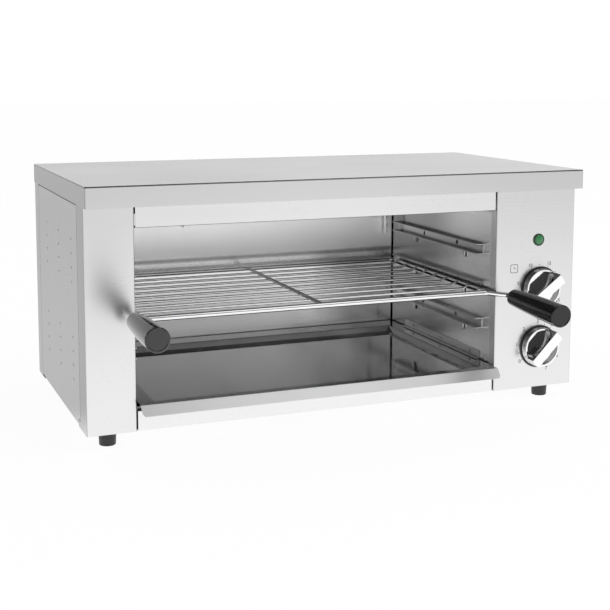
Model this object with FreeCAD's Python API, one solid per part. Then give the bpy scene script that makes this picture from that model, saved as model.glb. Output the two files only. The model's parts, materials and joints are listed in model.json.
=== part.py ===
import FreeCAD, Part

import math
import os

os.makedirs("parts", exist_ok=True)

# Countertop cheese melter: a stainless cabinet with an open front, elements
# under its roof, a wire rack on three levels of runners, a pull-out crumb tray
# and a control panel with a timer and a power knob on the right.
# Millimetres, +Z up, the front looks along -Y. The origin is at the bottom
# centre of the whole object's box, rack grips and cable gland included.

# Overall sizes
width = 600.0
lid_depth = 312.0
height = 283.0
sheet = 1.0
foot_height = 18.0

# Lid
lid_skirt = 22.5
lid_overhang = 15.5
lid_side_step = 0.7
lid_bend = 1.6
lid_return = 11.6
lid_front_return_lap = 10.0

# Front columns and rails
left_column_width = 53.8
panel_width = 108.4
column_return = 32.0
column_inner_return = 12.0
column_bend = 1.2
foot_flange = 41.5
foot_flange_lip = 8.0
rail_setback = 0.8
rail_end_gap = 1.6
rail_tab_setback = 7.0
rail_bend = 0.8
top_rail_height = 24.0
top_rail_return = 12.0
top_rail_top_return = 32.0
bottom_rail_top = 40.2
bottom_rail_top_return = 30.0
bottom_rail_bottom_return = 25.0

# Side, rear and base panels
panel_gap = 0.8
panel_flange = 12.0
panel_lap = 10.0
panel_lap_root = 3.0
panel_lap_inset = 4.0
panel_bend = 1.5
panel_reveal = 1.4
rear_side_flange = 27.0
rear_top_flange = 20.0
vent_r = 1.4
vent_first_y = 64.5
vent_last_gap = 81.3
vent_columns = 3
vent_rise = 46.5
vent_drop = 88.0
vent_pitch_z = 15.7
vent_rows = 4
slot_length = 42.0
slot_height = 5.0
slot_pitch = 13.0
slot_count = 6
rear_slot_drop = 110.5
base_slot_length = 60.0
base_slot_pitch = 12.0
base_slot_count = 5

# Cavity
cavity_rear_gap = 16.3
wall_tail = 11.0
back_wall_flange = 10.0
back_wall_gap = 1.6
ceiling_drop = 10.5
ceiling_flange = 8.0
ceiling_start = 14.0
floor_flange = 10.0
floor_front_gap = 2.0

# Rack runners
runner_height = 12.5
runner_depth = 9.5
runner_start = 30.5
runner_back_gap = 19.0
runner_rise = 47.8
runner_headroom = 70.0
runner_count = 3
runner_hole_r = 2.6
runner_hole_shares = (0.276, 0.656)
runner_ear_shares = (0.19, 0.76)
runner_ear_width = 3.5
runner_ear_drop = 8.0
runner_ear_depth = 3.0
runner_slot_width = 7.5
runner_slot_height = 6.0
runner_slot_drop = 9.5

# Tray guides
guide_height = 9.5
guide_depth = 6.0
guide_start = 34.5
guide_back_gap = 45.0
guide_gap = 0.7
guide_corner = 4.0
guide_rivet_r = 1.6
guide_rivet_shares = (0.12, 0.5, 0.88)

# Crumb tray
tray_side_gap = 1.8
tray_lip_reach = 12.8
tray_lip_run = 8.2
tray_lip_drop = 10.2
tray_lip_chamfer = 3.0
tray_back_gap = 4.0
tray_rim_side = 17.0
tray_rim_back = 27.0
tray_rim_front = 13.0
tray_slope = 4.0
tray_basin = 7.0
tray_gap = 0.3

# Rack
rack_rod_r = 2.5
rack_front_r = 3.2
rack_wire_r = 1.5
rack_bar_r = 2.0
rack_side_clear = 1.3
rack_seat_gap = 0.2
rack_front = 4.5
rack_back_gap = 14.0
rack_corner = 9.0
rack_wire_count = 9
wire_end_share = 0.7
wire_drop = 3.0
wire_crank_run = 6.0
wire_crank_inset = 2.5
wire_bend = 3.0
bar_bite = 0.4
arm_bend = 8.0
arm_inset = 9.7
arm_clear = 15.0
grip_clear = 26.5
grip_length = 100.0
grip_back_r = 9.8
grip_crown = 0.8
grip_tip_r = 12.7
grip_bore_depth = 62.0
grip_bore_gap = 0.05
grip_edge = 1.8
grip_tip_edge = 0.8
grip_dish_r = 10.6
grip_dish = 0.5
left_arm_overreach = 6.0
right_arm_overreach = 9.1
left_arm_rise = 5.0
right_arm_rise = -1.0
left_grip_tilt_deg = 1.2
right_grip_tilt_deg = -1.8
left_grip_yaw_deg = -1.7
right_grip_yaw_deg = -0.7

# Heating elements
heater_r = 4.0
heater_drop = 11.0
heater_count = 3
heater_first = 50.0
heater_last_gap = 29.5
heater_left_clear = 30.0
heater_tail = 16.0
heater_hole_gap = 0.15
hanger_sheet = 1.5
hanger_drop = 20.0
hanger_flange = 8.0
hanger_margin = 15.0
hanger_inset = 14.0
hanger_leg_width = 6.0
hanger_leg_drop = 75.0
ferrule_r = 7.0
ferrule_length = 5.0
bead_r = 3.6
bead_length = 5.0
stud_r = 1.8
stud_length = 12.0
link_thick = 1.0
link_height = 5.0
link_offset = 3.2
link_ear = 7.0
link_ear_reach = 2.8
link_standoff = 1.5
thread_gap = 0.05

# Controls
knob_inset = 46.3
power_rise = 50.0
knob_pitch = 72.0
bezel_r = 26.0
bezel_hole_r = 17.0
bezel_thick = 1.6
knob_gap = 0.5
knob_base_r = 24.5
knob_top_r = 23.6
knob_disc_height = 7.6
knob_rim = 2.2
knob_dish = 5.0
knob_dish_run = 1.6
knob_bar_proud = 0.4
knob_bar_width = 15.0
knob_bar_top_width = 12.6
knob_bar_height = 11.6
knob_edge = 0.7
knob_hollow_r = 20.5
knob_hollow = 1.4
knob_boss_r = 7.0
knob_bore_depth = 11.0
timer_bar_deg = 36.0
power_bar_deg = 45.0
spindle_r = 3.0
spindle_gap = 0.05
spindle_tail = 8.0
spindle_flat = 1.2
bush_r = 5.0
bush_reach = 1.9
bush_gap = 0.1
nut_r = 8.1
nut_thick = 1.5
timer_body_width = 48.0
timer_body_height = 52.0
timer_body_depth = 28.0
regulator_width = 44.0
regulator_height = 48.0
regulator_depth = 34.0
body_corner = 3.0
blade_width = 6.3
blade_thick = 0.8
blade_length = 8.0
blade_pitch = 14.0
blade_rows = 2

# Indicator lamp
lamp_inset = 49.8
lamp_rise = 58.8
lamp_bezel_r = 7.4
lamp_bezel_thick = 1.4
lamp_lens_wall = 0.5
lamp_lens_rise = 1.6
lamp_lens_seat = 3.0
lamp_barrel_r = 6.0
lamp_barrel_length = 22.0
lamp_hole_gap = 0.1

# Electrical inlet, terminal block and earth stud
gland_inset = 63.3
inlet_rise = 34.0
gland_flange_r = 13.0
gland_flange_thick = 3.0
gland_reach = 14.0
gland_neck_r = 8.5
gland_bore_r = 4.5
gland_barrel_r = 9.0
gland_inside = 9.0
gland_hole_gap = 0.1
earth_inset = 25.3
earth_r = 3.0
earth_outside = 12.0
earth_inside = 8.0
earth_nut_r = 5.6
earth_nut_thick = 4.5
earth_groove = 0.8
earth_groove_r = 2.5
earth_hole_gap = 0.1
block_setback = 70.0
block_width = 52.0
block_depth = 20.0
block_height = 22.0
block_step = 6.0
block_poles = 4
block_screw_r = 2.6
block_screw_height = 1.6
wire_r = 1.3
wire_turn = 5.0
wire_stub = 13.0
wire_rise = 18.0

# Feet
foot_inset_x = 28.0
foot_inset_y = 25.1
foot_top_r = 9.8
foot_bottom_r = 9.0
foot_edge = 1.0
foot_recess_r = 4.6
foot_recess = 9.0
foot_screw_r = 2.0
foot_screw_head_r = 3.8
foot_screw_head = 2.6
foot_nut_r = 4.0
foot_nut = 3.2
screw_hole_gap = 0.1

# Fasteners
panel_screw_r = 2.0
panel_screw_head_r = 3.8
panel_screw_head = 2.2
panel_screw_tail = 5.0
panel_screw_edge = 9.0
lid_screw_shares = (0.25, 0.75)

# How far each arm stands out past the opening and rises, and how its grip tilts and turns
arms = {
    -1: (left_arm_overreach, left_arm_rise, left_grip_tilt_deg, left_grip_yaw_deg),
    1: (right_arm_overreach, right_arm_rise, right_grip_tilt_deg, right_grip_yaw_deg)}


def grip_way(sign):
    """The direction from a grip's back end to its tip."""
    tilt, yaw = (math.radians(angle) for angle in arms[sign][2:])
    flat = math.cos(tilt)
    return FreeCAD.Vector(flat * math.sin(yaw), -flat * math.cos(yaw), math.sin(tilt))


def tip_reach(sign):
    """How far a grip reaches in front of the body's front plane."""
    end_r = grip_tip_r - grip_tip_edge
    forward = -grip_way(sign).y
    return arm_clear + (grip_clear - arm_clear + grip_length) * forward + end_r * math.sqrt(1 - forward ** 2)


# Planes worked out from the sizes above
front_reach = max(tip_reach(-1), tip_reach(1))
body_depth = lid_depth - lid_overhang - lid_side_step
total_depth = front_reach + body_depth + gland_reach
front_y = front_reach - total_depth / 2
back_y = front_y + body_depth
lid_front_y = front_y - lid_overhang
lid_back_y = lid_front_y + lid_depth
side_x = width / 2 - lid_side_step
body_top = height - lid_skirt
body_bottom = foot_height
base_top = body_bottom + 2 * sheet
open_left = left_column_width - side_x
open_right = side_x - panel_width
wall_left = open_left - sheet
wall_right = open_right + sheet
centre_x = (open_left + open_right) / 2
half_open = (open_right - open_left) / 2
cavity_depth = body_depth - cavity_rear_gap
cavity_back = front_y + cavity_depth
ceiling_z = body_top - ceiling_drop
inner_y = back_y - sheet
rail_y = front_y + rail_setback
top_rail_z = body_top - top_rail_height
floor_z = bottom_rail_top + sheet
tray_bottom = floor_z + tray_gap
rim_z = tray_bottom + sheet + tray_basin
lip_y = front_y - tray_lip_reach
tray_back_y = cavity_back - tray_back_gap
tray_half_width = half_open - tray_side_gap
tray_rim_x = tray_half_width - tray_rim_side
guide_z = rim_z + guide_gap
runner_length = cavity_depth - runner_start - runner_back_gap
guide_length = cavity_depth - guide_start - guide_back_gap
runner_low_z = floor_z + runner_rise
runner_pitch = (ceiling_z - runner_headroom - runner_low_z) / (runner_count - 1)
middle_runner_z = runner_low_z + runner_pitch
rack_z = middle_runner_z + sheet + rack_seat_gap + rack_rod_r
side_rod = half_open - rack_side_clear - rack_rod_r
rack_front_y = front_y + rack_front
rack_back_y = cavity_back - rack_back_gap
rack_depth = rack_back_y - rack_front_y
wire_z = rack_z - wire_drop
wire_pitch = rack_depth / (rack_wire_count - 1 + 2 * wire_end_share)
heater_z = ceiling_z - heater_drop
heater_pitch = (cavity_depth - heater_first - heater_last_gap) / (2 * heater_count - 1)
heater_ys = [front_y + heater_first + heater_pitch * k for k in range(2 * heater_count)]
heater_end_x = wall_right + sheet + heater_tail
heater_bend_x = wall_left + heater_left_clear + heater_pitch / 2
knob_x = side_x - knob_inset
power_z = body_bottom + power_rise
timer_z = power_z + knob_pitch
lamp_x = side_x - lamp_inset
lamp_z = timer_z + lamp_rise
lens_seat_r = lamp_barrel_r - lamp_lens_wall
gland_x = side_x - gland_inset
gland_z = body_bottom + inlet_rise
earth_x = side_x - earth_inset
earth_z = gland_z
knob_back_y = front_y - bezel_thick - knob_gap
disc_y = knob_back_y - knob_disc_height
bar_y = disc_y - knob_bar_height


def vec(x, y, z):
    return FreeCAD.Vector(x, y, z)


def slab(x0, x1, y0, y1, z0, z1):
    """A box between two corners, given in any order."""
    low = vec(min(x0, x1), min(y0, y1), min(z0, z1))
    return Part.makeBox(abs(x1 - x0), abs(y1 - y0), abs(z1 - z0), low)


def round_bar(start, end, radius, end_radius=None):
    """A cylinder, or a cone where a second radius is given, between two points."""
    run = end - start
    if end_radius is None:
        return Part.makeCylinder(radius, run.Length, start, run)
    return Part.makeCone(radius, end_radius, run.Length, start, run)


def union(shapes):
    whole = shapes[0].multiFuse(list(shapes[1:])) if len(shapes) > 1 else shapes[0]
    return whole.removeSplitter()


def outline(points):
    return Part.makePolygon(list(points) + [points[0]])


def prism(points, run):
    """A flat outline pushed along a vector."""
    return Part.Face(outline(points)).extrude(run)


def hexagon(centre, axis, radius, thick):
    """A hexagon nut blank whose corners lie on the radius."""
    nut = prism([vec(radius * math.cos(math.radians(a)), radius * math.sin(math.radians(a)), 0)
                 for a in range(0, 360, 60)], vec(0, 0, thick))
    nut.Placement = FreeCAD.Placement(centre, FreeCAD.Rotation(vec(0, 0, 1), axis))
    return nut


def rounded(shape, radius, test):
    """Rounds the edges whose middle point passes the test."""
    edges = [edge for edge in shape.Edges if test(edge.valueAt(
        (edge.FirstParameter + edge.LastParameter) / 2))]
    return shape.makeFillet(radius, edges)


def near(a, b):
    return abs(a - b) < sheet / 10


def bent_path(points, radius):
    """Straight runs joined by tangent arcs of one radius."""
    edges = []
    start = points[0]
    for before, corner, after in zip(points, points[1:], points[2:]):
        come = (corner - before).normalize()
        go = (after - corner).normalize()
        half_turn = come.getAngle(go) / 2
        back_off = radius * math.tan(half_turn)
        first = corner - come * back_off
        last = corner + go * back_off
        inward = (go - come).normalize()
        middle = corner + inward * (radius / math.cos(half_turn) - radius)
        edges.append(Part.LineSegment(start, first).toShape())
        edges.append(Part.Arc(first, middle, last).toShape())
        start = last
    edges.append(Part.LineSegment(start, points[-1]).toShape())
    return Part.Wire(edges)


def bent_rod(points, rod_radius, bend_radius):
    """A round rod bent along straight runs and arcs."""
    path = bent_path(points, bend_radius)
    ring = Part.Circle(points[0], points[1] - points[0], rod_radius).toShape()
    return path.makePipeShell([Part.Wire([ring])], True, False)


def save(name, shape):
    shape.exportStep("parts/" + name + ".step")


def side_of(sign):
    return "left" if sign < 0 else "right"


def foot_centres():
    """The four foot centres, front left first."""
    return [(sx * (width / 2 - foot_inset_x), y)
            for y in (front_y + foot_inset_y, back_y - foot_inset_y) for sx in (-1, 1)]


def foot_hole(x, y, radius, low, high):
    return round_bar(vec(x, y, low), vec(x, y, high), radius)


def lid_screw_places():
    """Six places inside the lid's side and rear returns."""
    side = width / 2 - sheet - lid_return / 2
    rear = lid_back_y - sheet - lid_return / 2
    run = body_depth - column_return - rear_side_flange
    places = []
    for share in lid_screw_shares:
        y = front_y + column_return + run * share
        places += [(-side, y), (side, y)]
    places += [(-side / 2, rear), (side / 2, rear)]
    return places


def lid_shape():
    """A folded lid: flat top, skirt on four sides and a return all round."""
    skin = slab(-width / 2, width / 2, lid_front_y, lid_back_y, body_top, height)
    skin = rounded(skin, lid_bend, lambda p: near(p.z, height) or not near(p.z, body_top)
                   and near(abs(p.x), width / 2) and (near(p.y, lid_front_y) or near(p.y, lid_back_y)))
    inside = slab(-width / 2 + sheet, width / 2 - sheet, lid_front_y + sheet, lid_back_y - sheet,
                  body_top + sheet, height - sheet)
    lap_y = front_y + lid_front_return_lap
    edge = sheet + lid_return
    mouth = slab(-width / 2 + edge, width / 2 - edge, lap_y, lid_back_y - edge, body_top, body_top + sheet)
    lid = skin.cut(inside).cut(mouth)
    for x, y in lid_screw_places():
        lid = lid.cut(foot_hole(x, y, panel_screw_r + screw_hole_gap, body_top, body_top + sheet))
    return lid


def column_shape(outer_x, inner_x):
    """A folded front column with outer and inner returns, a top flange and a foot flange."""
    way = 1 if inner_x > outer_x else -1
    skin = outer_x + way * sheet
    column = union([
        slab(outer_x, inner_x, front_y, front_y + sheet, body_bottom, body_top),
        slab(outer_x, skin, front_y, front_y + column_return, body_bottom, body_top),
        slab(inner_x, inner_x - way * sheet, front_y, front_y + column_inner_return, body_bottom, body_top),
        slab(outer_x, inner_x, front_y, front_y + column_return, body_top - sheet, body_top),
        slab(outer_x, inner_x, front_y, front_y + foot_flange, body_bottom, body_bottom + sheet),
        slab(outer_x, skin, front_y, front_y + foot_flange, body_bottom, body_bottom + foot_flange_lip)])
    column = rounded(column, column_bend, lambda p: near(p.y, front_y) and not near(p.z, body_top)
                     and not near(p.z, body_bottom) and (near(p.x, outer_x) or near(p.x, inner_x)))
    hole_r = foot_screw_r + screw_hole_gap
    for x, y in foot_centres():
        if (x - centre_x) * (outer_x - centre_x) > 0 and y < 0:
            column = column.cut(foot_hole(x, y, hole_r, body_bottom, body_bottom + sheet))
    return column


def panel_hole(x, z, radius):
    return round_bar(vec(x, front_y, z), vec(x, front_y + sheet, z), radius)


def control_panel_shape():
    panel = column_shape(side_x, open_right)
    for z in (timer_z, power_z):
        panel = panel.cut(panel_hole(knob_x, z, bush_r + bush_gap))
    return panel.cut(panel_hole(lamp_x, lamp_z, lamp_barrel_r + lamp_hole_gap))


def rail_shape(low_z, high_z, low_return, high_return):
    """A folded cross rail between the columns, with a tab at each end."""
    left = open_left + rail_end_gap
    right = open_right - rail_end_gap
    tab_y = front_y + rail_tab_setback
    tab_back = front_y + column_inner_return
    return rounded(union([
        slab(left, right, rail_y, rail_y + sheet, low_z, high_z),
        slab(left, right, rail_y, rail_y + low_return, low_z, low_z + sheet),
        slab(left, right, rail_y, rail_y + high_return, high_z - sheet, high_z),
        slab(open_left, left, tab_y, tab_back, low_z, high_z),
        slab(right, open_right, tab_y, tab_back, low_z, high_z)]),
        rail_bend, lambda p: near(p.y, rail_y) and (near(p.z, low_z) or near(p.z, high_z)))


def side_panel_shape(sign):
    """A side sheet with folded flanges, a groove below the lid, joggled laps and vent holes."""
    skin = sign * side_x
    back_of_skin = skin - sign * sheet
    lap = back_of_skin - sign * sheet
    y0 = front_y + column_return + panel_gap
    y1 = back_y - rear_side_flange - panel_gap
    step = body_top - panel_reveal
    lap_low = base_top + panel_lap_inset
    lap_high = body_top - panel_lap_inset
    panel = union([
        slab(skin, back_of_skin, y0, y1, base_top, step),
        slab(skin, skin - sign * panel_flange, y0, y1, base_top, base_top + sheet),
        slab(back_of_skin, lap, y0, y1, step - sheet, body_top),
        slab(back_of_skin, skin - sign * panel_flange, y0, y1, body_top - sheet, body_top),
        slab(back_of_skin, lap, y0 - panel_lap, y0 + panel_lap_root, lap_low, lap_high),
        slab(back_of_skin, lap, y1 - panel_lap_root, y1 + panel_lap, lap_low, lap_high)])
    panel = rounded(panel, panel_bend, lambda p: near(p.x, skin) and near(p.z, base_top))
    panel = panel.cut(slab(skin, back_of_skin, y0, front_y + foot_flange + panel_gap,
                           base_top, body_bottom + foot_flange_lip + panel_gap))
    holes = []
    vent_pitch_y = (body_depth - vent_first_y - vent_last_gap) / (vent_columns - 1)
    for k in range(vent_columns):
        y = front_y + vent_first_y + vent_pitch_y * k
        for first_z in (body_bottom + vent_rise, body_top - vent_drop):
            for row in range(vent_rows):
                z = first_z + vent_pitch_z * row
                holes.append(round_bar(vec(lap, y, z), vec(skin, y, z), vent_r))
    panel = panel.cut(Part.makeCompound(holes))
    for x, y in lid_screw_places():
        if x * sign > 0 and y < back_y - rear_side_flange:
            panel = panel.cut(foot_hole(x, y, panel_screw_r + screw_hole_gap, body_top - sheet, body_top))
    return panel


def rear_screw_places():
    """Screw places round the rear panel's edge, as x and z."""
    x = side_x - panel_screw_edge
    low = body_bottom + 2 * panel_screw_edge
    high = body_top - panel_screw_edge
    return [(sx * x, z) for sx in (-1, 1) for z in (low, (low + high) / 2, high)]


def rear_panel_shape():
    """The rear sheet with side, top and foot flanges, vents and the inlet holes."""
    panel = union([
        slab(-side_x, side_x, inner_y, back_y, body_bottom, body_top),
        slab(-side_x, sheet - side_x, back_y - rear_side_flange, back_y, body_bottom, body_top),
        slab(side_x - sheet, side_x, back_y - rear_side_flange, back_y, body_bottom, body_top),
        slab(-side_x, side_x, back_y - rear_top_flange, back_y, body_top - sheet, body_top),
        slab(-side_x, side_x, back_y - foot_flange, back_y, body_bottom, body_bottom + sheet)])
    panel = rounded(panel, column_bend, lambda p: near(p.y, back_y) and near(abs(p.x), side_x)
                    and not near(p.z, body_top) and not near(p.z, body_bottom))
    slot_x = (open_right + side_x) / 2
    for k in range(slot_count):
        z = body_top - rear_slot_drop + slot_pitch * k
        panel = panel.cut(slab(slot_x - slot_length / 2, slot_x + slot_length / 2, inner_y, back_y,
                               z, z + slot_height))
    panel = panel.cut(round_bar(vec(gland_x, inner_y, gland_z), vec(gland_x, back_y, gland_z),
                                gland_barrel_r + gland_hole_gap))
    panel = panel.cut(round_bar(vec(earth_x, inner_y, earth_z), vec(earth_x, back_y, earth_z),
                                earth_r + earth_hole_gap))
    for x, z in rear_screw_places():
        panel = panel.cut(round_bar(vec(x, inner_y, z), vec(x, back_y, z), panel_screw_r + screw_hole_gap))
    hole_r = foot_screw_r + screw_hole_gap
    for x, y in foot_centres():
        if y > 0:
            panel = panel.cut(foot_hole(x, y, hole_r, body_bottom, body_bottom + sheet))
    for x, y in lid_screw_places():
        if y > back_y - rear_top_flange:
            panel = panel.cut(foot_hole(x, y, panel_screw_r + screw_hole_gap, body_top - sheet, body_top))
    return panel


def base_panel_shape():
    """The bottom sheet, slotted under the control compartment."""
    low = base_top - sheet
    panel = slab(sheet - side_x, side_x - sheet, front_y + column_inner_return, inner_y, low, base_top)
    slot_x = (open_right + side_x) / 2
    for k in range(base_slot_count):
        y = front_y + foot_flange + base_slot_pitch * (k + 1)
        panel = panel.cut(slab(slot_x - base_slot_length / 2, slot_x + base_slot_length / 2,
                               y, y + slot_height, low, base_top))
    for x, y in foot_centres():
        panel = panel.cut(foot_hole(x, y, foot_screw_r + screw_hole_gap, low, base_top))
    return panel


def runner_y(share):
    """A place along the runners, as a share of their length from the front."""
    return front_y + runner_start + runner_length * share


def runner_low(level):
    """The underside of a runner, counted from the lowest."""
    return runner_low_z + runner_pitch * level


def wall_shape(sign):
    """A cavity side wall, with holes and slots for the runners and the element legs."""
    face = wall_right if sign > 0 else wall_left
    outer = face + sign * sheet
    back = cavity_back + wall_tail
    wall = slab(face, outer, front_y + sheet, back, base_top, body_top - sheet)
    openings = []
    for level in range(runner_count):
        low_z = runner_low(level)
        middle = low_z + runner_height / 2
        for share in runner_hole_shares:
            y = runner_y(share)
            openings.append(round_bar(vec(face, y, middle), vec(outer, y, middle), runner_hole_r))
        for share in runner_ear_shares:
            y = runner_y(share)
            slot_low = low_z - runner_slot_drop
            openings.append(slab(face, outer, y - runner_slot_width / 2, y + runner_slot_width / 2,
                                 slot_low, slot_low + runner_slot_height))
    if sign > 0:
        for y in heater_ys:
            openings.append(round_bar(vec(face, y, heater_z), vec(outer, y, heater_z),
                                      heater_r + heater_hole_gap))
    return wall.cut(Part.makeCompound(openings))


def back_wall_shape():
    """The cavity's rear sheet, which stands a little clear of the side walls."""
    top = body_top - sheet
    left = wall_left + back_wall_gap
    right = wall_right - back_wall_gap
    y1 = cavity_back + back_wall_flange
    return union([
        slab(left, right, cavity_back, cavity_back + sheet, base_top, top),
        slab(left, left + sheet, cavity_back, y1, base_top, top),
        slab(right - sheet, right, cavity_back, y1, base_top, top)])


def ceiling_shape():
    """The reflector above the elements, flanged up against the walls."""
    y0 = front_y + ceiling_start
    top = ceiling_z + sheet + ceiling_flange
    return union([
        slab(wall_left, wall_right, y0, cavity_back, ceiling_z, ceiling_z + sheet),
        slab(wall_left, wall_left + sheet, y0, cavity_back, ceiling_z, top),
        slab(wall_right - sheet, wall_right, y0, cavity_back, ceiling_z, top)])


def cavity_floor_shape():
    """The shelf that the crumb tray slides on, flanged down against the walls."""
    y0 = front_y + column_inner_return + floor_front_gap
    low = bottom_rail_top - floor_flange
    side_y0 = front_y + bottom_rail_top_return + floor_front_gap
    return union([
        slab(wall_left, wall_right, y0, cavity_back, bottom_rail_top, floor_z),
        slab(wall_left, wall_left + sheet, side_y0, cavity_back, low, floor_z),
        slab(wall_right - sheet, wall_right, side_y0, cavity_back, low, floor_z)])


def runner_shape(sign, level):
    """A U channel that carries one edge of the rack, with holes and two ears below."""
    face = wall_right if sign > 0 else wall_left
    y0 = runner_y(0)
    y1 = runner_y(1)
    low_z = runner_low(level)
    high_z = low_z + runner_height
    edge = face - sign * runner_depth
    pieces = [
        slab(face, face - sign * sheet, y0, y1, low_z, high_z),
        slab(face, edge, y0, y1, low_z, low_z + sheet),
        slab(face, edge, y0, y1, high_z - sheet, high_z)]
    for share in runner_ear_shares:
        y = runner_y(share)
        pieces.append(slab(face, face - sign * runner_ear_depth, y - runner_ear_width / 2,
                           y + runner_ear_width / 2, low_z - runner_ear_drop, low_z))
    runner = union(pieces)
    middle = (low_z + high_z) / 2
    for share in runner_hole_shares:
        start = vec(face, runner_y(share), middle)
        runner = runner.cut(round_bar(start, start - vec(sign * sheet, 0, 0), runner_hole_r))
    return runner


def tray_guide_shape(sign):
    """An angle strip above the tray's rim that keeps the tray from tipping."""
    face = wall_right if sign > 0 else wall_left
    y0 = front_y + guide_start
    y1 = y0 + guide_length
    top = guide_z + guide_height
    leg = slab(face, face - sign * sheet, y0, y1, guide_z, top)
    leg = rounded(leg, guide_corner, lambda p: near(p.y, y0) and near(p.z, top) and not near(p.x, face)
                  and not near(p.x, face - sign * sheet))
    guide = union([leg, slab(face, face - sign * guide_depth, y0, y1, guide_z, guide_z + sheet)])
    middle = guide_z + (guide_height + sheet) / 2
    rivets = []
    for share in guide_rivet_shares:
        y = y0 + guide_length * share
        start = vec(face - sign * sheet, y, middle)
        rivets.append(round_bar(start, start - vec(sign * sheet, 0, 0), guide_rivet_r))
    return union([guide] + rivets)


def basin(grow, low_z, high_z):
    """The tray's sloped basin between two levels, grown outwards by a sheet where asked."""
    def ring(inset, z):
        x = tray_rim_x + grow - inset
        y0 = lip_y + tray_rim_front - grow + inset
        y1 = tray_back_y - tray_rim_back + grow - inset
        return outline([vec(centre_x - x, y0, z), vec(centre_x + x, y0, z),
                        vec(centre_x + x, y1, z), vec(centre_x - x, y1, z)])
    return Part.makeLoft([ring(tray_slope, low_z), ring(0, high_z)], True, True)


def tray_shape():
    """A shallow pressed tray with a flat rim and a sloping front lip."""
    half = tray_half_width
    rim = slab(centre_x - half, centre_x + half, lip_y, tray_back_y, rim_z - sheet, rim_z)
    section = [
        vec(centre_x - half, lip_y, rim_z),
        vec(centre_x - half, lip_y - tray_lip_run, rim_z - tray_lip_drop),
        vec(centre_x - half, lip_y - tray_lip_run + sheet, rim_z - tray_lip_drop - sheet / 2),
        vec(centre_x - half, lip_y + sheet, rim_z - sheet)]
    lip = prism(section, vec(2 * half, 0, 0))
    low_z = rim_z - tray_lip_drop - sheet
    for sign in (-1, 1):
        x = centre_x + sign * half
        corner = [vec(x, lip_y - tray_lip_run - sheet, low_z),
                  vec(x - sign * tray_lip_chamfer, lip_y - tray_lip_run - sheet, low_z),
                  vec(x, lip_y - tray_lip_run - sheet, low_z + sheet + tray_lip_chamfer)]
        lip = lip.cut(prism(corner, vec(0, tray_lip_run + 2 * sheet, 0)))
    outer = basin(sheet, tray_bottom, rim_z)
    inner = basin(0, tray_bottom + sheet, rim_z)
    tray = union([rim, lip, outer]).cut(inner)
    return tray


def arm_knee(sign):
    """Where an arm turns forwards, in front of the column or the panel."""
    overreach, rise = arms[sign][:2]
    return vec(centre_x + sign * (half_open + overreach), front_y - arm_clear, rack_z + rise)


def grip_back(sign):
    """The centre of a grip's back end, on the line from the arm's knee."""
    return arm_knee(sign) + grip_way(sign) * (grip_clear - arm_clear)


def arm_points(sign):
    """The points of one half of the front rod, from the opening's side out to the grip."""
    corner = vec(centre_x + sign * (half_open - arm_inset), rack_front_y, rack_z)
    inside = grip_back(sign) + grip_way(sign) * (grip_bore_depth - grip_edge)
    return [corner, arm_knee(sign), inside]


def front_rod_shape():
    """The thick front rod of the rack, bent forwards at both ends to carry the grips."""
    return bent_rod(list(reversed(arm_points(-1))) + arm_points(1), rack_front_r, arm_bend)


def rack_frame_shape(front_rod):
    """The sides and back of the rack, one bent rod welded to the front rod."""
    reach = rack_front_y - rack_front_r
    frame = bent_rod([
        vec(centre_x - side_rod, reach, rack_z),
        vec(centre_x - side_rod, rack_back_y, rack_z),
        vec(centre_x + side_rod, rack_back_y, rack_z),
        vec(centre_x + side_rod, reach, rack_z)], rack_rod_r, rack_corner)
    return largest(frame.cut(front_rod))


def largest(shape):
    """The biggest solid that a cut leaves."""
    return sorted(shape.Solids, key=lambda solid: solid.Volume)[-1]


def rack_wires(frame, bar):
    """The thin cross wires, each cranked up at both ends to meet the side rods."""
    wires = []
    rise_x = side_rod - rack_rod_r - wire_crank_inset
    low_x = rise_x - wire_crank_run
    for k in range(rack_wire_count):
        y = rack_front_y + wire_pitch * (k + wire_end_share)
        wire = bent_rod([
            vec(centre_x - side_rod, y, rack_z),
            vec(centre_x - rise_x, y, rack_z),
            vec(centre_x - low_x, y, wire_z),
            vec(centre_x + low_x, y, wire_z),
            vec(centre_x + rise_x, y, rack_z),
            vec(centre_x + side_rod, y, rack_z)], rack_wire_r, wire_bend)
        wires.append(largest(wire.cut(frame)).cut(bar))
    return Part.makeCompound([solid for wire in wires for solid in wire.Solids])


def centre_bar_shape(front_rod, frame):
    bar_z = wire_z + rack_wire_r + rack_bar_r - bar_bite
    bar = round_bar(vec(centre_x, rack_front_y, bar_z), vec(centre_x, rack_back_y, bar_z), rack_bar_r)
    return largest(bar.cut(front_rod).cut(frame))


def grip_shape(sign):
    """A tapered, slightly crowned grip with a blind bore for the arm and a dished end."""
    back = grip_back(sign)
    way = grip_way(sign)
    low = vec(grip_back_r, 0, grip_edge)
    middle = vec((grip_back_r + grip_tip_r) / 2 + grip_crown, 0, grip_length / 2)
    high = vec(grip_tip_r, 0, grip_length - grip_tip_edge)
    ends = Part.makePolygon([
        high, vec(grip_tip_r - grip_tip_edge, 0, grip_length), vec(grip_dish_r, 0, grip_length),
        vec(grip_dish_r - grip_dish, 0, grip_length - grip_dish), vec(0, 0, grip_length - grip_dish),
        vec(0, 0, 0), vec(grip_back_r - grip_edge, 0, 0), low])
    profile = Part.Wire([Part.Arc(low, middle, high).toShape()] + ends.Edges)
    full_turn = 360
    grip = Part.Face(profile).revolve(vec(0, 0, 0), vec(0, 0, 1), full_turn)
    grip.Placement = FreeCAD.Placement(back, FreeCAD.Rotation(vec(0, 0, 1), way))
    bore = round_bar(back, back + way * grip_bore_depth, rack_front_r + grip_bore_gap)
    return grip.cut(bore)


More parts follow.
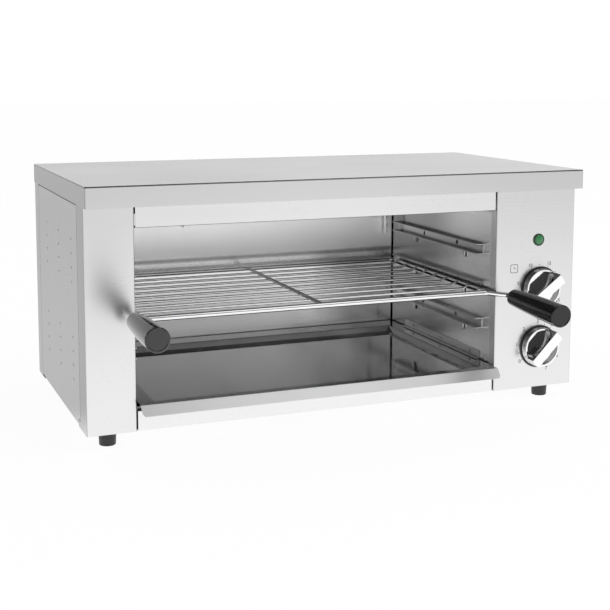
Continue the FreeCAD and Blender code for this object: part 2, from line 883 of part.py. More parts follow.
def heater_shape(index):
    """One hairpin element: two legs through the right wall and a bend at the left."""
    near_y = heater_ys[2 * index]
    far_y = heater_ys[2 * index + 1]
    bend = heater_pitch / 2
    first = vec(heater_end_x, near_y, heater_z)
    turn_in = vec(heater_bend_x, near_y, heater_z)
    turn_mid = vec(heater_bend_x - bend, near_y + bend, heater_z)
    turn_out = vec(heater_bend_x, far_y, heater_z)
    last = vec(heater_end_x, far_y, heater_z)
    path = Part.Wire([Part.LineSegment(first, turn_in).toShape(),
                      Part.Arc(turn_in, turn_mid, turn_out).toShape(),
                      Part.LineSegment(turn_out, last).toShape()])
    ring = Part.Circle(first, turn_in - first, heater_r).toShape()
    return path.makePipeShell([Part.Wire([ring])], True, False)


def hanger_shape(x, way, leg_drop):
    """A drilled strip that hangs the element legs from the roof, with a leg at its rear end."""
    y0 = heater_ys[0] - heater_r - hanger_margin
    y1 = heater_ys[-1] + heater_r + hanger_margin
    strip = union([
        slab(x, x + way * hanger_sheet, y0, y1, ceiling_z - hanger_drop, ceiling_z),
        slab(x, x + way * hanger_sheet, y1, y1 + hanger_leg_width, ceiling_z - leg_drop, ceiling_z),
        slab(x, x + way * hanger_flange, y0, y1, ceiling_z - hanger_sheet, ceiling_z)])
    for y in heater_ys:
        strip = strip.cut(round_bar(vec(x, y, heater_z), vec(x + way * hanger_sheet, y, heater_z),
                                    heater_r + heater_hole_gap))
    return strip


def heater_ends(kind):
    """The six ferrules, ceramic beads or terminal studs on the element legs."""
    pieces = []
    wall_face = wall_right + sheet
    for y in heater_ys:
        end = vec(heater_end_x, y, heater_z)
        seat = vec(wall_face, y, heater_z)
        if kind == "ferrule":
            ring = round_bar(seat, seat + vec(ferrule_length, 0, 0), ferrule_r)
            pieces.append(ring.cut(round_bar(seat, seat + vec(ferrule_length, 0, 0), heater_r + thread_gap)))
        if kind == "bead":
            bead = round_bar(end, end + vec(bead_length, 0, 0), bead_r)
            pieces.append(bead.cut(round_bar(end, end + vec(bead_length, 0, 0), stud_r + thread_gap)))
        if kind == "stud":
            pieces.append(round_bar(end, end + vec(stud_length, 0, 0), stud_r))
    return Part.makeCompound(pieces)


def element_links():
    """Two brass bars that join every second terminal stud, one above and one below."""
    bars = []
    x0 = heater_end_x + bead_length + link_standoff
    x1 = x0 + link_thick
    for first, way in ((0, 1), (1, -1)):
        ys = heater_ys[first::2]
        inner = heater_z + way * link_offset
        pieces = [slab(x0, x1, ys[0] - link_ear / 2, ys[-1] + link_ear / 2, inner, inner + way * link_height)]
        for y in ys:
            pieces.append(slab(x0, x1, y - link_ear / 2, y + link_ear / 2,
                               inner, heater_z - way * link_ear_reach))
        bar = union(pieces)
        for y in ys:
            bar = bar.cut(round_bar(vec(x0, y, heater_z), vec(x1, y, heater_z), stud_r + thread_gap))
        bars.append(bar)
    return Part.makeCompound(bars)


def knob_shape(z, bar_deg):
    """A die-cast knob: a low disc, dished each side of a raised grip bar, hollow behind."""
    axis = vec(knob_x, knob_back_y, z)
    out = vec(0, -1, 0)
    disc = round_bar(axis, axis + out * knob_disc_height, knob_base_r, knob_top_r)
    disc = rounded(disc, knob_edge, lambda p: near(p.y, disc_y))
    dish_r = knob_top_r - knob_rim
    dish_start = axis + out * (knob_disc_height - knob_dish)
    dish = round_bar(dish_start, axis + out * knob_disc_height, dish_r - knob_dish_run, dish_r)
    half = knob_top_r + knob_bar_proud
    base_y = disc_y + knob_dish
    bar = bar_loft(half, base_y)
    bar = bar.common(round_bar(vec(0, base_y, 0), vec(0, bar_y, 0), half))
    bar = rounded(bar, knob_edge, lambda p: near(p.y, bar_y))
    bar.Placement = FreeCAD.Placement(vec(knob_x, 0, z), FreeCAD.Rotation(vec(0, 1, 0), -bar_deg))
    knob = union([disc.cut(dish), bar])
    hollow = round_bar(axis, axis + out * knob_hollow, knob_hollow_r)
    hollow = hollow.cut(round_bar(axis, axis + out * knob_hollow, knob_boss_r))
    knob = knob.cut(hollow)
    return knob.cut(spindle_rod(z, knob_back_y, knob_back_y - knob_bore_depth, spindle_gap))


def bar_loft(half, base_y):
    """The grip bar about the knob's axis, narrower at its top."""
    def ring(wide, y):
        return outline([vec(-half, y, -wide / 2), vec(half, y, -wide / 2),
                        vec(half, y, wide / 2), vec(-half, y, wide / 2)])
    return Part.makeLoft([ring(knob_bar_width, base_y), ring(knob_bar_top_width, bar_y)], True, True)


def spindle_rod(z, y0, y1, gap):
    """A D-section rod along the knob's axis, grown by a gap where asked."""
    rod = round_bar(vec(knob_x, y0, z), vec(knob_x, y1, z), spindle_r + gap)
    top = z + spindle_r + gap
    flat = slab(knob_x - 2 * spindle_r, knob_x + 2 * spindle_r, y0, y1, top - spindle_flat, top + spindle_r)
    return rod.cut(flat)


def spindle_shape(z):
    """A control spindle, round in its bush and flatted in the knob."""
    tail_y = front_y + sheet + spindle_tail
    head_y = knob_back_y - knob_bore_depth + knob_gap
    round_part = round_bar(vec(knob_x, tail_y, z), vec(knob_x, knob_back_y + knob_gap, z), spindle_r)
    return union([round_part, spindle_rod(z, knob_back_y + knob_gap, head_y, 0)])


def bezel_shape(z):
    front = front_y - bezel_thick
    ring = round_bar(vec(knob_x, front_y, z), vec(knob_x, front, z), bezel_r)
    ring = rounded(ring, knob_edge, lambda p: near(p.y, front))
    return ring.cut(round_bar(vec(knob_x, front_y, z), vec(knob_x, front, z), bezel_hole_r))


def control_body(z, wide, tall, deep):
    """A switch body behind the panel with a threaded bush and blade terminals."""
    y0 = front_y + sheet
    body = slab(knob_x - wide / 2, knob_x + wide / 2, y0, y0 + deep, z - tall / 2, z + tall / 2)
    body = rounded(body, body_corner,
                   lambda p: near(abs(p.x - knob_x), wide / 2) and near(abs(p.z - z), tall / 2))
    bush = round_bar(vec(knob_x, y0, z), vec(knob_x, front_y - bush_reach, z), bush_r)
    pieces = [body, bush]
    for column in (-1, 1):
        for row in range(blade_rows):
            end = blade_end(z, wide, deep, column, row)
            pieces.append(slab(end.x - blade_thick / 2, end.x + blade_thick / 2, end.y - blade_length, end.y,
                               end.z - blade_width / 2, end.z + blade_width / 2))
    bore = round_bar(vec(knob_x, front_y - bush_reach, z),
                     vec(knob_x, y0 + spindle_tail + spindle_gap, z), spindle_r + spindle_gap)
    return union(pieces).cut(bore)


def control_nuts():
    nuts = []
    for z in (timer_z, power_z):
        seat = vec(knob_x, front_y, z)
        out = vec(0, -1, 0)
        nut = hexagon(seat, out, nut_r, nut_thick)
        nuts.append(nut.cut(round_bar(seat, seat + out * nut_thick, bush_r + thread_gap)))
    return Part.makeCompound(nuts)


def lamp_body_shape():
    """The lamp's bezel and barrel, with two blades at the back."""
    face = front_y - lamp_bezel_thick
    back = front_y + lamp_barrel_length
    flange = round_bar(vec(lamp_x, front_y, lamp_z), vec(lamp_x, face, lamp_z), lamp_bezel_r)
    flange = rounded(flange, lamp_bezel_thick / 2, lambda p: near(p.y, face))
    barrel = round_bar(vec(lamp_x, front_y, lamp_z), vec(lamp_x, back, lamp_z), lamp_barrel_r)
    pieces = [flange, barrel]
    for sign in (-1, 1):
        x = lamp_x + sign * lamp_barrel_r / 2
        pieces.append(slab(x - blade_thick / 2, x + blade_thick / 2, back, back + blade_length,
                           lamp_z - blade_width / 2, lamp_z + blade_width / 2))
    seat = round_bar(vec(lamp_x, face, lamp_z), vec(lamp_x, front_y + lamp_lens_seat, lamp_z), lens_seat_r)
    return union(pieces).cut(seat)


def lamp_lens_shape():
    """A plug with a low domed face."""
    face = front_y - lamp_bezel_thick
    rim = lens_seat_r - thread_gap
    plug = round_bar(vec(lamp_x, front_y + lamp_lens_seat, lamp_z), vec(lamp_x, face, lamp_z), rim)
    ball_r = (rim ** 2 + lamp_lens_rise ** 2) / (2 * lamp_lens_rise)
    ball = Part.makeSphere(ball_r, vec(lamp_x, face - lamp_lens_rise + ball_r, lamp_z))
    cap = ball.common(round_bar(vec(lamp_x, face, lamp_z), vec(lamp_x, face - lamp_lens_rise, lamp_z), rim))
    return union([plug, cap])


def gland_shape():
    """A cable gland: flange and ribbed neck outside, barrel inside, one bore through."""
    seat = vec(gland_x, back_y, gland_z)
    out = vec(gland_x, back_y + gland_reach, gland_z)
    inside = vec(gland_x, inner_y - gland_inside, gland_z)
    flange = round_bar(seat, seat + vec(0, gland_flange_thick, 0), gland_flange_r)
    flange = rounded(flange, sheet, lambda p: near(p.y, back_y + gland_flange_thick))
    neck = round_bar(seat, out, gland_flange_r - sheet, gland_neck_r)
    barrel = round_bar(inside, seat, gland_barrel_r)
    return union([flange, neck, barrel]).cut(round_bar(inside, out, gland_bore_r))


def earth_stud_shape():
    """The bonding stud, grooved past its outer nut, with a nut on each side of the rear panel."""
    stud = round_bar(vec(earth_x, inner_y - earth_inside, earth_z),
                     vec(earth_x, back_y + earth_outside, earth_z), earth_r)
    low = vec(earth_x, back_y + earth_nut_thick, earth_z)
    high = low + vec(0, earth_groove, 0)
    groove = round_bar(low, high, earth_r + earth_groove).cut(round_bar(low, high, earth_groove_r))
    pieces = [stud.cut(groove)]
    for start, way in ((back_y, 1), (inner_y, -1)):
        seat = vec(earth_x, start, earth_z)
        axis = vec(0, way, 0)
        nut = hexagon(seat, axis, earth_nut_r, earth_nut_thick)
        pieces.append(nut.cut(round_bar(seat, seat + axis * earth_nut_thick, earth_r + thread_gap)))
    return Part.makeCompound(pieces)


def block_origin():
    return vec(gland_x, back_y - block_setback, base_top)


def block_pole(k):
    """The centre of one pole's top, counted from the left."""
    origin = block_origin()
    x = origin.x + block_width * ((k + 0.5) / block_poles - 0.5)
    return vec(x, origin.y, origin.z + block_height)


def terminal_block_shape():
    """A stepped terminal block that stands on the base panel."""
    low = block_origin()
    half = block_width / 2
    top = low.z + block_height
    body = slab(low.x - half, low.x + half, low.y - block_depth / 2, low.y + block_depth / 2, low.z, top)
    for way in (-1, 1):
        edge = low.y + way * block_depth / 2
        body = body.cut(slab(low.x - half, low.x + half, edge, edge - way * block_step,
                             top - block_step, top))
    return body


def terminal_screws():
    screws = []
    for k in range(block_poles):
        top = block_pole(k)
        screws.append(round_bar(top, top + vec(0, 0, block_screw_height), block_screw_r))
    return Part.makeCompound(screws)


def blade_end(z, wide, deep, column, row):
    """The back end of one of the four blades of a control body."""
    return vec(knob_x + column * wide / 4, front_y + sheet + deep + blade_length,
               z + blade_pitch * (row - (blade_rows - 1) / 2))


def wiring_shape():
    """The insulated wires of the control compartment, each between two terminals."""
    timer_feed = blade_end(timer_z, timer_body_width, timer_body_depth, -1, 0)
    timer_out = blade_end(timer_z, timer_body_width, timer_body_depth, -1, 1)
    power_out = blade_end(power_z, regulator_width, regulator_depth, -1, 1)
    power_feed = blade_end(power_z, regulator_width, regulator_depth, 1, 0)
    power_lamp = blade_end(power_z, regulator_width, regulator_depth, 1, 1)
    lamp_y = front_y + lamp_barrel_length + blade_length
    lamp_feed = vec(lamp_x + lamp_barrel_r / 2, lamp_y, lamp_z)
    lamp_return = vec(lamp_x - lamp_barrel_r / 2, lamp_y, lamp_z)
    stud_x = heater_end_x + stud_length
    live = vec(stud_x, heater_ys[0], heater_z)
    neutral = vec(stud_x, heater_ys[-1], heater_z)
    earth = vec(earth_x, inner_y - earth_inside, earth_z)
    poles = [block_pole(k) + vec(0, 0, block_screw_height) for k in range(block_poles)]
    stub = vec(0, wire_stub, 0)
    lead = vec(wire_stub, 0, 0)
    up = vec(0, 0, wire_rise)
    power_y = power_lamp.y + wire_stub
    return_y = power_y + wire_stub
    earth_y = earth.y - wire_rise
    routes = [
        [timer_feed, timer_feed + stub, power_out + stub, power_out],
        [timer_out, vec(timer_out.x, live.y, timer_out.z), vec(timer_out.x, live.y, live.z), live],
        [lamp_feed, vec(lamp_feed.x, power_y, lamp_feed.z), power_lamp + stub, power_lamp],
        [lamp_return, vec(lamp_return.x, return_y, lamp_return.z),
         vec(lamp_return.x, return_y, poles[2].z + wire_rise), poles[2] + up, poles[2]],
        [power_feed, power_feed + 2 * stub, vec(poles[3].x, poles[3].y, power_feed.z), poles[3]],
        [neutral, neutral + lead, vec(poles[1].x, neutral.y, poles[1].z + 2 * wire_rise),
         poles[1] + 2 * up, poles[1]],
        [earth, vec(earth.x, earth_y, earth.z), vec(poles[0].x, earth_y, poles[0].z + wire_rise),
         poles[0] + up, poles[0]]]
    return Part.makeCompound([bent_rod(route, wire_r, wire_turn) for route in routes])


def foot_shape(x, y):
    """A tapered rubber foot with a recess for its screw."""
    foot = round_bar(vec(x, y, 0), vec(x, y, foot_height), foot_bottom_r, foot_top_r)
    foot = rounded(foot, foot_edge, lambda p: near(p.z, 0))
    foot = foot.cut(round_bar(vec(x, y, 0), vec(x, y, foot_recess), foot_recess_r))
    return foot.cut(round_bar(vec(x, y, 0), vec(x, y, foot_height), foot_screw_r + thread_gap))


def foot_screws():
    """A screw and a nut for each foot."""
    pieces = []
    for x, y in foot_centres():
        head = round_bar(vec(x, y, foot_recess - foot_screw_head), vec(x, y, foot_recess), foot_screw_head_r)
        shank = round_bar(vec(x, y, foot_recess), vec(x, y, base_top + foot_nut + sheet), foot_screw_r)
        pieces.append(union([head, shank]))
        nut = hexagon(vec(x, y, base_top), vec(0, 0, 1), foot_nut_r, foot_nut)
        pieces.append(nut.cut(foot_hole(x, y, foot_screw_r + thread_gap, base_top, base_top + foot_nut)))
    return Part.makeCompound(pieces)


def screw(seat, way):
    """A domed screw: its head stands on the seat and its shank runs along the way."""
    head = round_bar(seat, seat - way * panel_screw_head, panel_screw_head_r)
    edge = (seat - way * panel_screw_head).dot(way)
    head = rounded(head, panel_screw_head / 2, lambda p: near(p.dot(way), edge))
    return union([head, round_bar(seat, seat + way * panel_screw_tail, panel_screw_r)])


def panel_screws():
    """Screws up through the body's flanges into the lid, and round the rear panel."""
    screws = [screw(vec(x, y, body_top - sheet), vec(0, 0, 1)) for x, y in lid_screw_places()]
    screws += [screw(vec(x, back_y, z), vec(0, -1, 0)) for x, z in rear_screw_places()]
    return Part.makeCompound(screws)


def build_cabinet():
    save("lid", lid_shape())
    save("left_column", column_shape(-side_x, open_left))
    save("control_panel", control_panel_shape())
    save("top_rail", rail_shape(top_rail_z, body_top, top_rail_return, top_rail_top_return))
    save("bottom_rail", rail_shape(body_bottom, bottom_rail_top,
                                   bottom_rail_bottom_return, bottom_rail_top_return))
    save("rear_panel", rear_panel_shape())
    save("base_panel", base_panel_shape())
    save("back_wall", back_wall_shape())
    save("ceiling_reflector", ceiling_shape())
    save("cavity_floor", cavity_floor_shape())
    for sign in (-1, 1):
        side = side_of(sign)
        save(side + "_side_panel", side_panel_shape(sign))
        save(side + "_wall", wall_shape(sign))
        save(side + "_tray_guide", tray_guide_shape(sign))
        for level in range(runner_count):
            save(side + "_runner_" + str(level + 1), runner_shape(sign, level))
    for k, (x, y) in enumerate(foot_centres()):
        save("foot_" + ("front_", "rear_")[k // 2] + ("left", "right")[k % 2], foot_shape(x, y))
    save("foot_screws", foot_screws())
    save("panel_screws", panel_screws())


def build_heating():
    for k in range(heater_count):
        save("heating_element_" + str(k + 1), heater_shape(k))
    save("element_hanger_left", hanger_shape(heater_bend_x + hanger_inset, 1, hanger_drop))
    save("element_hanger_right", hanger_shape(wall_right - hanger_inset, -1, hanger_leg_drop))
    save("element_ferrules", heater_ends("ferrule"))
    save("element_insulators", heater_ends("bead"))
    save("element_terminals", heater_ends("stud"))
    save("element_links", element_links())


def build_controls():
    save("timer_knob", knob_shape(timer_z, timer_bar_deg))
    save("power_knob", knob_shape(power_z, power_bar_deg))
    save("timer_spindle", spindle_shape(timer_z))
    save("power_spindle", spindle_shape(power_z))
    save("timer_bezel", bezel_shape(timer_z))
    save("power_bezel", bezel_shape(power_z))
    save("timer_body", control_body(timer_z, timer_body_width, timer_body_height, timer_body_depth))
    save("power_regulator", control_body(power_z, regulator_width, regulator_height, regulator_depth))
    save("control_nuts", control_nuts())
    save("lamp_holder", lamp_body_shape())
    save("lamp_lens", lamp_lens_shape())
    save("cable_gland", gland_shape())
    save("earth_stud", earth_stud_shape())
    save("terminal_block", terminal_block_shape())
    save("terminal_screws", terminal_screws())
    save("wiring", wiring_shape())


def build_rack_and_tray():
    front_rod = front_rod_shape()
    frame = rack_frame_shape(front_rod)
    bar = centre_bar_shape(front_rod, frame)
    save("rack_front_rod", front_rod)
    save("rack_frame", frame)
    save("rack_centre_bar", bar)
    save("rack_wires", rack_wires(frame, bar))
    save("left_grip", grip_shape(-1))
    save("right_grip", grip_shape(1))
    save("crumb_tray", tray_shape())


build_cabinet()
build_heating()
build_controls()
build_rack_and_tray()
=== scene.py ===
import json
import math

import bmesh
import bpy
from mathutils import Matrix, Vector


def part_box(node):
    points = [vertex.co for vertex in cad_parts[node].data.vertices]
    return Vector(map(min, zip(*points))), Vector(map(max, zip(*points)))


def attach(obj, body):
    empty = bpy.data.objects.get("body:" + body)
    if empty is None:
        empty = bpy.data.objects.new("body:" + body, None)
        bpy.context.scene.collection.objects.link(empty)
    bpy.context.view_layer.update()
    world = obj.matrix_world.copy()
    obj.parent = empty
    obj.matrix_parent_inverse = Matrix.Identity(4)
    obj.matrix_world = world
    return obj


# Finishes, prints, studio and camera of a countertop cheese melter.
# Metres, +Z up, the front looks along -Y.

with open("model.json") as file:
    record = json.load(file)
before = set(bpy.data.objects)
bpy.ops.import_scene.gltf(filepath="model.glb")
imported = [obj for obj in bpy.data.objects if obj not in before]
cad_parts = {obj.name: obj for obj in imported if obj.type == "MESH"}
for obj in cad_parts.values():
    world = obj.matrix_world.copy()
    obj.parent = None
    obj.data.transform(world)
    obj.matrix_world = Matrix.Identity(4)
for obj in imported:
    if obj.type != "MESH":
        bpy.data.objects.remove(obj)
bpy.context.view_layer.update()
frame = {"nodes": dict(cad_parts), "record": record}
nodes = frame["nodes"]

# Spans of a share, up and down, and the span in which most of a noise lies
unit = (0.0, 1.0)
falling = (1.0, 0.0)
middle = (0.3, 0.7)

# Camera, solved from the corners of the cabinet in the photograph
camera_place = Vector((-0.537225, -1.289823, 0.403185))
camera_yaw = math.radians(-21.987)
camera_pitch = math.radians(-7.035)
camera_roll = math.radians(-0.159)
camera_lens = 69.746
camera_sensor = 36.0
camera_shift_y = -0.15
quarter_turn = math.pi / 2

# Lamp
lamp_place = Vector((0.95, -1.3, 2.2))
lamp_aim = Vector((0.0, 0.0, 0.1))
lamp_size = (1.4, 1.5)
lamp_power = 7.8

# World: glow of the studio against the height of the view, before and behind
white = (1.0, 1.0, 1.0, 1.0)
plain_sky = (0.62, 0.62, 0.63, 1.0)
rear_heights = (0.22, 0.55)
rear_glow = (0.95, 0.16)
front_heights = (0.22, 0.45)
front_glow = (0.72, 0.12)
turn_to_rear = (-0.3, 0.3)

# Floor
floor_half = 12.0
floor_glow = 1.05
floor_plain_share = 0.12
floor_plain = (0.9, 0.9, 0.9, 1.0)
floor_dull = (0.8, 0.8, 0.8, 1.0)

# Floor's tone in reflections: along y before and behind, then on a slanting strip
before_ys = (-5.0, -0.5)
before_tone = (0.95, 1.25)
behind_ys = (-0.12, 0.1)
behind_tone = (1.0, 0.43)
far_behind_ys = (0.3, 2.0)
far_behind_tone = (1.0, 0.86)
strip_slant = 0.45
strip_right = (0.1, 0.5)
strip_left = (-0.3, -0.9)
strip_left_share = (0.0, 0.6)
strip_far_ys = (-2.2, -0.5)
strip_dulling = (0.10, 0.36)

# Painted shade in crevices, joints and slits, read from ambient occlusion
crevice_reach = 0.006
crevice_samples = 6
crevice_open = (0.15, 0.75)

# Grain of brushed steel: spots per metre along it and across it, and a place in the noise
hair = (9.0, 1300.0, 0.3)
streak = (1.2, 420.0, 5.1)
hair_share = 0.6
streak_share = 0.4
grain_contrast = 0.007
grain_tilt = 0.02

# Unevenness of brushed steel. The cloud is a noise's scale, detail and roughness.
steel_cloud = (5.0, 3.0, 0.55)
cloud_rough = 0.05
streak_rough = 0.02
steel_bump = 0.010
bump_depth = 0.0002

# Turns of a face, as the size of its normal's part along an axis. The tones set on upper faces, side faces,
# folds and upright corners are painted light and shade.
flat_turn = (0.9, 0.99)
fold_start = (0.06, 0.25)
fold_end = (0.92, 0.99)
fold_end_turn = (0.1, 0.5)
fold_end_painted_shade = 0.5
corner_start = (0.15, 0.35)
corner_end = (0.90, 0.98)
corner_level = (0.1, 0.3)
corner_painted_shade = 0.6
# Painted shade at the deepest of the steel's crevices
steel_crevice_shade = 0.10

# Places on the sheets where painted light and shade change
panel_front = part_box("control_panel")[0].y
behind_front = (panel_front + 0.003, panel_front + 0.004)
mouth_to_back = (-0.035, 0.085)
groove_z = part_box("left_side_panel")[1].z - 0.0014
groove_edge = 0.0004
groove_shade = 0.12

# Back wall: a painted reflection of the rack's front rod as a dark line, painted shade fading upward above
# it, and an upright grain and more roughness above it
rack_line_z = 0.1520
rack_line_edge = 0.006
rack_line_half = (0.0005, 0.0045)
rack_reflection_tone = 0.45
rack_shade_reach = 0.05
rack_shade_tone = 0.93
above_line_rough = 0.15

# Crumb tray, with painted light and shade in its tones across it, along a slanting band, towards the back,
# on its slopes and in its crevices
tray_xs = (-0.24, 0.14)
tray_painted_light = (0.27, 0.52)
tray_band_slant = 0.43
tray_band_run = (0.0, 0.06)
tray_band_light = (1.0, 1.5)
tray_ys = (-0.04, 0.1)
tray_depth_shade = (1.0, 0.85)
tray_side_turn = (0.1, 0.3)
tray_side_shade = (1.0, 0.35)
tray_back_turn = (-0.3, -0.1)
tray_back_light = (1.7, 1.0)
tray_back_rough = (0.4, 0.0)
tray_rim_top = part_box("crumb_tray")[1].z
tray_rim_zs = (tray_rim_top - 0.0012, tray_rim_top - 0.0008)
tray_rim_tone = (1.0, 0.55)
tray_lip_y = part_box("crumb_tray")[0].y + 0.0082
tray_lip_ys = (tray_lip_y, tray_lip_y + 0.002)
tray_lip_tone = 0.86
tray_rough = (0.06, 0.40)
tray_cloud_scale = 9.0
tray_cloud_tone = (0.98, 1.02)
tray_cloud_rough = (0.0, 0.02)
tray_fine_scale = 700.0
# Painted shade at the deepest of the tray's crevices
tray_crevice_shade = 0.5
tray_bump = 0.01

# Steel's grey is a little blue
steel_blue = 1.005

# Plated metal
plate_cloud_scale = 60.0
plate_cloud = (0.35, 0.65)
plate_lift = 1.06
plate_fine_ratio = 12
plate_bump = 0.02
# Painted shade on faces turned to a shaded side
shade_turn = (0.35, 0.75)
painted_shade_tone = 0.33

# Moulded plastic, rubber and ceramic
mould_cloud_scale = 30.0
mould_spread = 0.12
mould_rough_spread = 0.1
mould_coat_rough = 0.04
noise_detail = 3.0

# Lens of the lamp
lens_cloud_scale = 260.0
lens_dark = (0.035, 0.27, 0.075, 1.0)
lens_light = (0.06, 0.36, 0.11, 1.0)
lens_bump = 0.1
lens_bump_depth = 0.0003

# Prints on the control panel, with places as x and z
timer_centre = (0.253, 0.140)
power_centre = (0.253, 0.068)
clock_centre = (0.2163, 0.1654)
clock_half = 0.0052
print_rise = 0.00006
line_width = 0.0006
dot_r = 0.0006
tick_rs = (0.0266, 0.0280)
digit_height = 0.0044
font_share = 1.4
bold_share = 0.012


def add_camera():
    data = bpy.data.cameras.new("camera")
    data.lens = camera_lens
    data.sensor_width = camera_sensor
    data.shift_y = camera_shift_y
    camera = bpy.data.objects.new("camera", data)
    turn = (Matrix.Rotation(camera_yaw, 4, "Z") @ Matrix.Rotation(camera_pitch, 4, "X")
            @ Matrix.Rotation(camera_roll, 4, "Y") @ Matrix.Rotation(quarter_turn, 4, "X"))
    camera.matrix_world = Matrix.Translation(camera_place) @ turn
    bpy.context.scene.collection.objects.link(camera)
    bpy.context.scene.camera = camera


class Tree:
    """A short way to write shader nodes."""

    def __init__(self, tree):
        self.tree = tree
        self.tree.nodes.clear()

    def put(self, socket, value):
        if isinstance(value, bpy.types.NodeSocket):
            self.tree.links.new(value, socket)
        else:
            socket.default_value = value

    def add(self, kind, inputs=(), **settings):
        node = self.tree.nodes.new("ShaderNode" + kind)
        for name, value in settings.items():
            setattr(node, name, value)
        for name, value in dict(inputs).items():
            self.put(node.inputs[name], value)
        return node

    def math(self, operation, *values):
        node = self.tree.nodes.new("ShaderNodeMath")
        node.operation = operation
        for socket, value in zip(node.inputs, values):
            self.put(socket, value)
        return node.outputs[0]

    def times(self, *values):
        """The product of two or more values."""
        product = values[0]
        for value in values[1:]:
            product = self.math("MULTIPLY", product, value)
        return product

    def plus(self, first, second):
        return self.math("ADD", first, second)

    def rest(self, share):
        """What a share leaves of 1."""
        return self.math("SUBTRACT", 1.0, share)

    def size(self, value):
        return self.math("ABSOLUTE", value)

    def mix(self, share, low, high):
        """A colour between two, by a share from 0 to 1."""
        node = self.tree.nodes.new("ShaderNodeMix")
        node.data_type = "RGBA"
        self.put(node.inputs["Factor"], share)
        self.put(node.inputs[6], low)
        self.put(node.inputs[7], high)
        return node.outputs[2]

    def ramp(self, value, span, tones, smooth=False):
        """A value carried from one span to another and held at its ends."""
        node = self.tree.nodes.new("ShaderNodeMapRange")
        if smooth:
            node.interpolation_type = "SMOOTHSTEP"
        self.put(node.inputs["Value"], value)
        for name, number in zip(("From Min", "From Max", "To Min", "To Max"), span + tones):
            node.inputs[name].default_value = number
        return node.outputs[0]

    def noise(self, scale, detail=2.0, rough=0.5, spot=None):
        """A noise over the object, or over a spot of the caller's."""
        vector = spot or self.add("TexCoord").outputs["Object"]
        node = self.add("TexNoise", {"Vector": vector, "Scale": scale, "Detail": detail, "Roughness": rough})
        return node.outputs[0]

    def grey(self, value):
        return self.add("CombineColor", {0: value, 1: value, 2: value}).outputs[0]

    def parts(self, kind, axes):
        """The named parts of a coordinate, such as its x and z."""
        split = self.add("SeparateXYZ", {0: self.add("TexCoord").outputs[kind]})
        return [split.outputs[axis] for axis in axes]

    def bump(self, height, strength, depth=bump_depth):
        return self.add("Bump", {"Height": height, "Strength": strength, "Distance": depth}).outputs[0]

    def finish(self, kind, shader):
        out = self.add("Output" + kind)
        self.tree.links.new(shader.outputs[0], out.inputs["Surface"])


def new_material(name):
    material = bpy.data.materials.new(name)
    material.use_nodes = True
    return material, Tree(material.node_tree)


def grey(value):
    return (value, value, value * steel_blue, 1.0)


def spread(value, share):
    """A span around a value."""
    return (value * (1 - share), value * (1 + share))


def add_world():
    """White to the camera, a soft studio with a dark roof to reflections, and plain light to the rest."""
    world = bpy.data.worlds.new("studio")
    bpy.context.scene.world = world
    world.use_nodes = True
    t = Tree(world.node_tree)
    forward, up = t.parts("Generated", "YZ")
    rear = t.ramp(up, rear_heights, rear_glow, smooth=True)
    front = t.ramp(up, front_heights, front_glow, smooth=True)
    behind = t.ramp(forward, turn_to_rear, unit, smooth=True)
    studio = t.plus(t.times(rear, behind), t.times(front, t.rest(behind)))
    path = t.add("LightPath").outputs
    mirrored = t.math("MAXIMUM", path["Is Glossy Ray"], path["Is Transmission Ray"])
    lit = t.mix(mirrored, plain_sky, t.grey(studio))
    sky = t.mix(path["Is Camera Ray"], lit, white)
    t.finish("World", t.add("Background", {"Color": sky, "Strength": 1.0}))


def add_floor():
    """A pale floor with the object's shadow, white to the camera.

    In reflections it is brightest near the object and along a strip that runs
    off to the front right, and greyer behind.
    """
    bpy.ops.mesh.primitive_plane_add(size=2 * floor_half)
    floor = bpy.context.object
    floor.name = "floor"
    material, t = new_material("pale_floor")
    x, y = t.parts("Object", "XY")
    front = t.ramp(y, before_ys, before_tone, smooth=True)
    back = t.times(t.ramp(y, behind_ys, behind_tone, smooth=True), t.ramp(y, far_behind_ys, far_behind_tone))
    over = t.plus(x, t.times(y, strip_slant))
    beside = t.math("MAXIMUM", t.ramp(over, strip_right, unit), t.ramp(over, strip_left, strip_left_share))
    far = t.ramp(y, strip_far_ys, falling, smooth=True)
    strip = t.rest(t.times(far, t.ramp(beside, unit, strip_dulling)))
    path = t.add("LightPath").outputs
    tone = t.mix(path["Is Camera Ray"], t.grey(t.times(front, back, strip)), white)
    glow = t.add("Emission", {"Color": tone, "Strength": floor_glow})
    plain = t.add("BsdfDiffuse", {"Color": floor_plain})
    shown = t.add("MixShader", {0: floor_plain_share, 1: glow.outputs[0], 2: plain.outputs[0]})
    dull = t.add("BsdfDiffuse", {"Color": floor_dull})
    mirrored = t.math("MAXIMUM", path["Is Camera Ray"], path["Is Glossy Ray"])
    seen = t.math("MAXIMUM", mirrored, path["Is Transmission Ray"])
    t.finish("Material", t.add("MixShader", {0: seen, 1: dull.outputs[0], 2: shown.outputs[0]}))
    floor.data.materials.append(material)


def add_lamp():
    data = bpy.data.lights.new("key_lamp", "AREA")
    data.shape = "RECTANGLE"
    data.size = lamp_size[0]
    data.size_y = lamp_size[1]
    data.energy = lamp_power
    lamp = bpy.data.objects.new("key_lamp", data)
    lamp.location = lamp_place
    lamp.rotation_mode = "QUATERNION"
    lamp.rotation_quaternion = (lamp_aim - lamp_place).to_track_quat("-Z", "Y")
    bpy.context.scene.collection.objects.link(lamp)


def crevice(t, deepest):
    """Painted shade: the tone left where a joint or slit shuts the surface in, from the deepest up to 1 in
    the open.
    """
    shut_in = t.add("AmbientOcclusion", {"Distance": crevice_reach}, samples=crevice_samples)
    return t.ramp(shut_in.outputs["AO"], crevice_open, (deepest, 1.0), smooth=True)


